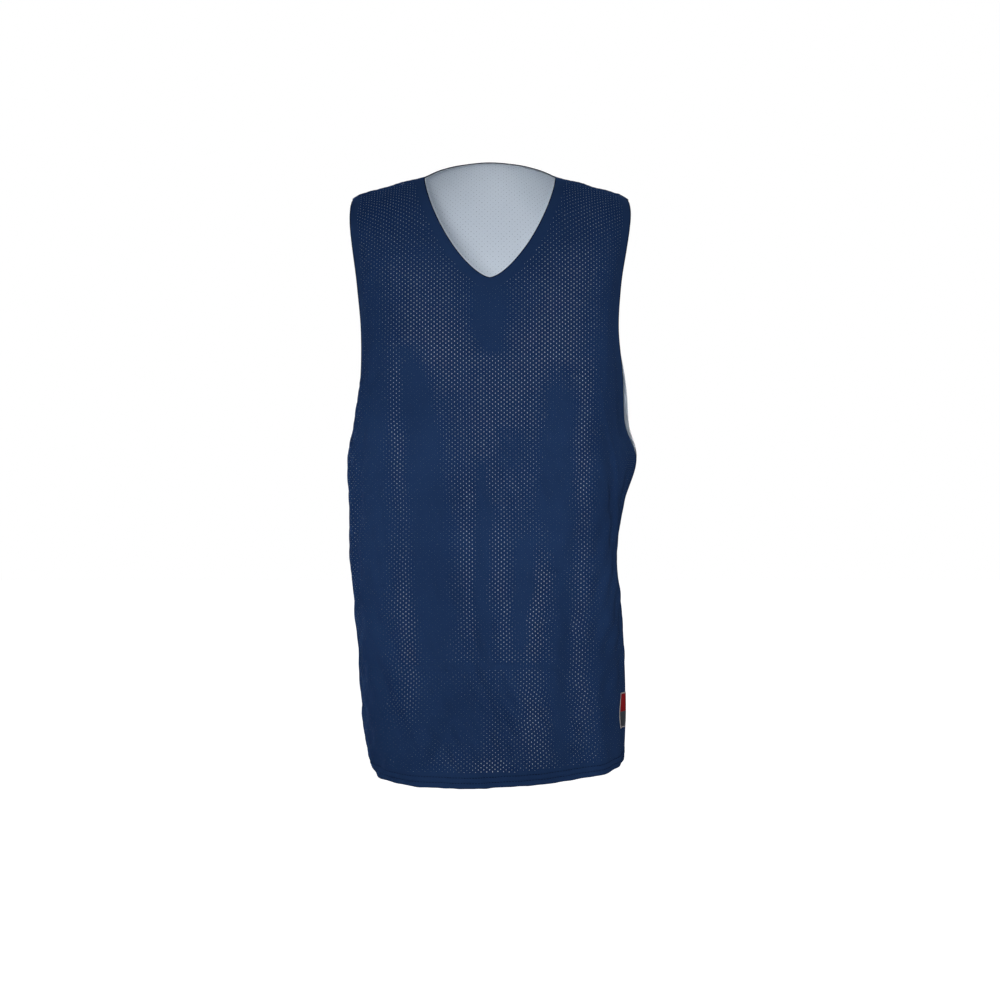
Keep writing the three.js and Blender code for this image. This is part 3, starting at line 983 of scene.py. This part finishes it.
def knitMaterial(name, colour, roughness, sheen, bump, wale=.00055, course=.0007):
    material, nodes, links, shader = newMaterial(name)
    flatMap = nodes.new("ShaderNodeUVMap")
    flatMap.uv_map = "cloth"
    cloth = flatMap.outputs[0]
    height = knitHeight(nodes, links, cloth, wale, course)
    place = nodes.new("ShaderNodeTexCoord").outputs["Object"]
    blotch = noiseNode(nodes, links, place, knitLook["blotchScale"], knitLook["blotchDetail"])
    fine = noiseNode(nodes, links, cloth, knitLook["fineScale"], knitLook["fineDetail"])
    shade = nodes.new("ShaderNodeValToRGB")
    for stop, position, value in zip(shade.color_ramp.elements, knitLook["shadeRange"], colours[colour]):
        stop.position, stop.color = position, (*value, 1)
    # The knit's height lightens the loops' tops and darkens between them: painted shade in the knit's
    # hollows, on every knit and weave
    parts = [mathNode(nodes, links, "MULTIPLY", value, knitLook[share])
             for value, share in ((blotch, "blotchShare"), (fine, "fineShare"), (height, "hollowShadeShare"))]
    amount = mathNode(nodes, links, "ADD", parts[0], parts[1])
    links.new(mathNode(nodes, links, "ADD", amount, parts[2]), shade.inputs[0])
    links.new(shade.outputs[0], shader.inputs["Base Color"])
    rough = nodes.new("ShaderNodeMapRange")
    setInputs(rough, {"To Min": roughness[0], "To Max": roughness[1]})
    links.new(fine, rough.inputs["Value"])
    links.new(rough.outputs[0], shader.inputs["Roughness"])
    relief = nodes.new("ShaderNodeBump")
    setInputs(relief, {"Strength": bump, "Distance": knitLook["reliefDepth"]})
    links.new(height, relief.inputs["Height"])
    links.new(relief.outputs[0], shader.inputs["Normal"])
    setInputs(shader, {
        "Specular IOR Level": 0,
        "Sheen Weight": sheen,
        "Sheen Roughness": knitLook["sheenRoughness"],
        "Sheen Tint": (*sheenTints.get(colour, colours[colour][1]), 1),
    })
    return material


# Hem: both plies turned up and sewn with two rows of stitches. Heights are from its lower edge.
hemBand = {
    "reach": 1.998,
    "columns": 150,
    "stitchRows": (7.2, 14.2),
    "stitchWidth": 1.3,
    "stitchDip": .8,
    "puff": .35,
    "outside": .3,
    "inside": -2.7,
    "edgeRounding": 1.5,
    "lines": (
        0, .25, .8, 1.6, 3, 4.6, 6, 6.6, 7.2, 7.8, 8.4, 10, 11.5, 13, 13.6, 14.2, 14.8, 15.4, 15.8, 16),
}
thread = {
    "reach": 1.97,
    "samples": 500,
    "length": 2.7,
    "gap": 1.1,
    "wander": .06,
    "radius": .4,
    "sides": 6,
    "lift": .2,
    # along the stitch in its lengths, and up in its radii
    "bend": ((-.5, -.35), (-.36, .5), (-.12, 1), (.12, 1), (.36, .5), (.5, -.35)),
}


def hemAt(net, across, height):  # points and normals of the cloth this high above the hem's edge
    return net.cloth.at(across, rowAtLevel(hemLevel(net.panel, across) + height))


def hemOffset(height, side):  # side 1 is the outer face, -1 the inner
    centre = (hemBand["outside"] + hemBand["inside"]) / 2
    half = (hemBand["outside"] - hemBand["inside"]) / 2
    radius = hemBand["edgeRounding"]
    rounding = np.sqrt(np.clip(height * (2 * radius - height), 0, None)) / radius
    rounding = np.where(height < radius, rounding, 1)
    dips = sum(np.exp(-((height - row) / hemBand["stitchWidth"]) ** 2) for row in hemBand["stitchRows"])
    puff = hemBand["puff"] * np.sin(np.pi * np.clip(height / hem["depth"], 0, 1))
    return centre + side * (half * rounding + puff * rounding - hemBand["stitchDip"] * dips)


def makeHem(panel, net, material):
    across = np.linspace(-hemBand["reach"], hemBand["reach"], hemBand["columns"] + 1)
    heights = np.array(hemBand["lines"], float)
    toSide = (2 - np.abs(across)) * seams["sideUnit"]
    dip = -seams["dip"] * np.exp(-(toSide / seams["width"]) ** 2)
    rings = []
    for side, order in ((1, heights), (-1, heights[::-1])):
        for height in order:
            points, normals = hemAt(net, across, height)
            offset = hemOffset(np.array(height), side) + (dip if side > 0 else 0)
            rings.append(points + normals * np.broadcast_to(offset, across.shape)[:, None])
    rings = rings[:len(heights)] + rings[len(heights):-1]  # both faces meet at the edge
    grid = np.stack(rings, 1)
    columns, lines = grid.shape[:2]
    faces = stripFaces(0, columns, lines)
    faces.append(tuple(range(lines)))
    faces.append(tuple(reversed(range((columns - 1) * lines, columns * lines))))
    thickness = hemBand["outside"] - hemBand["inside"]
    girth = np.concatenate([heights, 2 * hem["depth"] - heights[::-1][:-1] + thickness])
    flats = flatGrid(runAlong(grid[:, 0]), girth)
    piece = meshObject("hem_band_" + panel, grid.reshape(-1, 3), faces, [material], flats)
    faceOutward(piece)
    return piece


def makeStitches(panel, net, side, material):
    # Two rows of single stitches, each a small bent thread that dives into the hem at its ends
    points, faces = [], []
    base = 0
    pitch = thread["length"] + thread["gap"]
    bend = np.array(thread["bend"])
    across = np.linspace(-thread["reach"], thread["reach"], thread["samples"])
    for height in hemBand["stitchRows"]:
        line, normals = hemAt(net, across, height)
        trail = runAlong(line)
        offset = float(hemOffset(np.array(height), side)) + side * thread["lift"]
        for start in np.arange(pitch, trail[-1] - pitch, pitch):
            spots = start + bend[:, 0] * thread["length"] + random.normal(0, thread["wander"])
            centre, out = (np.stack([np.interp(spots, trail, values[:, axis]) for axis in range(3)], 1)
                           for values in (line, normals * side))
            beside = np.cross(unit(np.gradient(centre, axis=0)), out)
            centre = centre + out * (offset * side + (bend[:, 1] - 1) * thread["radius"])[:, None]
            rings, sides = tube(centre, beside, out, thread["radius"], thread["sides"], base)
            points.append(rings)
            faces += sides
            base += len(rings)
    name = "hem_stitches_" + panel + ("" if side > 0 else "_inside")
    return meshObject(name, np.concatenate(points), faces, [material])


# Small woven label on the wearer's left, above the hem: generic, red over grey in a pale frame
label = {
    "fromAcross": 1.4,
    "toAcross": 1.66,
    "top": -676,
    "bottom": -722,
    "columns": 16,
    "rows": 30,
    "splitRow": 16,
    "size": (30, 46),
    "bottomLift": .3,
    "thickness": .8,
    "rimHeight": .25,
    "rimAcross": 3,
    "rimDown": 5,
    "rimWidth": .25,
}


def makeLabel(net, materials):
    across = np.linspace(label["fromAcross"], label["toAcross"], label["columns"] + 1)
    shares = np.linspace(0, 1, label["rows"] + 1)
    levels = [np.full_like(across, mix(label["top"], label["bottom"], share)) for share in shares]
    found = [net.cloth.at(across, rowAtLevel(level)) for level in levels]
    points, normals = (np.stack([part[k] for part in found]) for k in (0, 1))
    u, v = np.linspace(0, 1, label["columns"] + 1)[None], shares[:, None]
    toRim = np.minimum(np.minimum(u, 1 - u) * label["rimAcross"], np.minimum(v, 1 - v) * label["rimDown"])
    swell = label["rimHeight"] * np.exp(-(toRim / label["rimWidth"]) ** 2)
    lift = label["bottomLift"] + label["thickness"] + swell - label["rimHeight"]
    top, under = points + normals * lift[..., None], points + normals * label["bottomLift"]
    rows, columns = top.shape[:2]
    size = rows * columns
    red, grey, pale = range(3)
    faces, kinds = [], []
    for j in range(rows - 1):
        for i in range(columns - 1):
            a = j * columns + i
            b = a + size
            faces.append((a, a + 1, a + columns + 1, a + columns))
            faces.append((b, b + columns, b + columns + 1, b + 1))
            rimmed = i < 1 or i >= columns - 2 or j < 1 or j >= rows - 2
            kinds += [pale if rimmed else red if j < label["splitRow"] else grey, pale]
    corner = (rows - 1) * columns
    sides = [(a, a + 1) for i in range(columns - 1) for a in (i, corner + i)]
    sides += [(a, a + columns) for j in range(0, corner, columns) for a in (j, j + columns - 1)]
    faces += [(a, b, b + size, a + size) for a, b in sides]
    kinds += [pale] * len(sides)
    wide, high = label["size"]
    flats = np.stack(np.broadcast_arrays(u * wide, v * high), -1).reshape(-1, 2)
    piece = meshObject("woven_label", np.concatenate([top.reshape(-1, 3), under.reshape(-1, 3)]), faces,
                       materials, np.concatenate([flats, flats]))
    piece.data.polygons.foreach_set("material_index", np.array(kinds, np.int32))
    faceOutward(piece)
    return piece


# Each colour at its darkest and lightest
colours = {
    "navy": ((.0108, .0275, .081), (.0186, .0455, .124)),
    # edge: a much darker navy for the turned neck and armhole edges and the outer seam cords, painted
    # shade along the rolled edges and in the seam grooves
    "edge": ((.0028, .0085, .028), (.005, .014, .044)),
    # thread: the hem's stitches, partly the thread's own navy and partly painted shade of the stitched
    # grooves, darker than the cloth
    "thread": ((.003, .009, .03), (.007, .018, .055)),
    # white: the inner ply's white, with a blue cast that paints the bluish light bounced off the navy ply
    "white": ((.68, .75, .84), (.82, .89, .97)),
    "red": ((.30, .012, .018), (.42, .025, .03)),
    "grey": ((.06, .065, .08), (.10, .105, .12)),
    "pale": ((.42, .38, .38), (.58, .54, .53)),
}
sheenTints = dict.fromkeys(("navy", "edge", "thread"), (.2, .38, .9))  # the others' is their lightest

navyKnit = knitMaterial("navy_knit", "navy", (.55, .72), .12, .5)
# The darker navy paints the shade along the turned edges and in the seam grooves
paintedShadeEdgeKnit = knitMaterial("navy_edge_painted_shade", "edge", (.55, .72), .05, .5)
whiteKnit = knitMaterial("white_knit", "white", (.55, .72), .1, .5)
weaves = [knitMaterial(colour + "_weave", colour, (.6, .75), .05, .7, .0005, .0004)
          for colour in ("red", "grey", "pale")]
# Navy stitch thread, darkened to paint the shade in the stitched grooves
navyThreadPaintedShade = knitMaterial("navy_thread_painted_shade", "thread", (.45, .6), .1, .3)
whiteThread = knitMaterial("white_thread", "white", (.45, .6), .1, .3)

nets = {}
made = {}
for panel in ("front", "back"):
    net = nets[panel] = Panel(panel)
    print(panel, "panel:", len(net.centres), "holes,", len(net.faces), "faces, flat", net.size.round(),
          round(net.area))
    outer = plyObject("ply_outer_" + panel, net, plies["outer"], navyKnit)
    inner = plyObject("ply_inner_" + panel, net, plies["inner"], whiteKnit, knit["columnStep"])
    band = makeHem(panel, net, navyKnit)
    outerSewing = makeStitches(panel, net, 1, navyThreadPaintedShade)
    innerSewing = makeStitches(panel, net, -1, whiteThread)
    outerTurn = turnProfile(plies["outer"], plies["outerTurn"], plies["turnDepth"], 0)
    innerTurn = turnProfile(plies["inner"], plies["innerTurn"], plies["turnDepth"], plies["innerReach"])
    edges = []
    # The outer turned edges take the darker navy, which paints the shade of their roll
    for kind, title in (("neck", "neck_edge"), ("arm", "armhole_edge")):
        edges.append((sweepEdge(title + "_outer_" + panel, net, kind, outerTurn, paintedShadeEdgeKnit), "navy_mesh"))
        edges.append((sweepEdge(title + "_inner_" + panel, net, kind, innerTurn, whiteKnit), "white_mesh"))
    made[panel] = (outer, inner, band, outerSewing, innerSewing, edges)

# The outer seam cords take the darker navy too, which paints the shade in the seam grooves
ridges = []
for kind in ("shoulder", "side"):
    for ply, material, slotName in (("outer", paintedShadeEdgeKnit, "navy_mesh"), ("inner", whiteKnit, "white_mesh")):
        piece = seamRidge(f"{kind}_seams_{ply}", nets, kind, ridge[ply + "Depth"], material)
        ridges.append((piece, slotName))
woven = makeLabel(nets["front"], weaves)
print("pieces made")

for panel in ("front", "back"):
    outer, inner, band, outerSewing, innerSewing, edges = made[panel]
    net = nets[panel]
    joined = edges + (ridges if panel == "front" else [])
    for piece, slotName in [(outer, "navy_mesh"), (inner, "white_mesh"), (band, "navy_mesh"),
                            (outerSewing, "navy_mesh"), (innerSewing, "white_mesh"), *joined]:
        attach(piece, "root")
    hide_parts(panel + "_outer")
    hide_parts(panel + "_inner")
    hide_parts("hem_" + panel)
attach(woven, "root")
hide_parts("side_label")


# Floor, light and camera
stage = {
    "floorLevel": -1.45,
    "floorSide": 60,
    "floorColour": (.92, .92, .92, 1),
    "floorRoughness": .9,
    "floorGlow": .9,
    "ambient": .24,
    "ambientColour": (.94, .97, 1, 1),
    "background": (1, 1, 1, 1),
    "keyPower": 2.4,
    "keySize": 1,
    "keySpread": 18,  # degrees
    "keyPlace": (-.35, -4.3, -.25),
    "keyTarget": (0, 0, -.43),
    "backPower": 55,
    "backPlaces": ((-1.3, 4, .5), (.9, 4, .5)),
    "sidePower": 9,
    "sidePlaces": ((-4, .1, .3), (4, .1, .3)),
    "fillSize": 2,
    "cameraPlace": (.0132, -3.5, -.425),
    "pictureSide": 1.32,  # metres across at the jersey's middle
    "sensorWidth": 36,
}


def makeFloor():
    half, level = stage["floorSide"] / 2, stage["floorLevel"]
    points = [(-half, -half, level), (half, -half, level), (half, half, level), (-half, half, level)]
    mesh = bpy.data.meshes.new("floor")
    mesh.from_pydata(points, [], [(0, 1, 2, 3)])
    material, _, _, shader = newMaterial("pale_floor")
    setInputs(shader, {
        "Base Color": stage["floorColour"],
        "Roughness": stage["floorRoughness"],
        "Emission Color": stage["background"],
        "Emission Strength": stage["floorGlow"],
    })
    mesh.materials.append(material)
    floor = newObject("floor", mesh)
    floor.visible_diffuse = floor.visible_glossy = False  # it brightens the background alone


def makeWorld():
    world = bpy.data.worlds.new("studio")
    world.use_nodes = True
    nodes, links = world.node_tree.nodes, world.node_tree.links
    seen = nodes["Background"]
    setInputs(seen, {"Strength": 1, "Color": stage["background"]})
    ambient = nodes.new("ShaderNodeBackground")
    setInputs(ambient, {"Strength": stage["ambient"], "Color": stage["ambientColour"]})
    choose = nodes.new("ShaderNodeMixShader")
    path = nodes.new("ShaderNodeLightPath")
    links.new(path.outputs["Is Camera Ray"], choose.inputs[0])
    links.new(ambient.outputs[0], choose.inputs[1])
    links.new(seen.outputs[0], choose.inputs[2])
    links.new(choose.outputs[0], nodes["World Output"].inputs[0])
    bpy.context.scene.world = world


def makeLight(name, place, size, power, spread=180):  # all of them point at the middle of the jersey
    lamp = bpy.data.lights.new(name, "AREA")
    lamp.shape, lamp.size, lamp.energy, lamp.spread = "SQUARE", size, power, math.radians(spread)
    light = newObject(name, lamp)
    light.location = place
    towards = [b - a for a, b in zip(place, stage["keyTarget"])]
    light.rotation_mode = "QUATERNION"
    light.rotation_quaternion = Vector(towards).to_track_quat("-Z", "Y")


def makeCamera():
    lens = bpy.data.cameras.new("camera")
    lens.sensor_width = stage["sensorWidth"]
    lens.lens = lens.sensor_width * -stage["cameraPlace"][1] / stage["pictureSide"]
    camera = newObject("camera", lens)
    camera.location = stage["cameraPlace"]
    camera.rotation_euler = (math.pi / 2, 0, 0)
    bpy.context.scene.camera = camera


makeFloor()
makeWorld()
makeLight("key", stage["keyPlace"], stage["keySize"], stage["keyPower"], stage["keySpread"])
for place in stage["backPlaces"]:
    makeLight("back_fill", place, stage["fillSize"], stage["backPower"])
for place in stage["sidePlaces"]:
    makeLight("side_fill", place, stage["fillSize"], stage["sidePower"])
makeCamera()
bpy.context.scene.view_settings.view_transform = "Standard"
print("stage set")
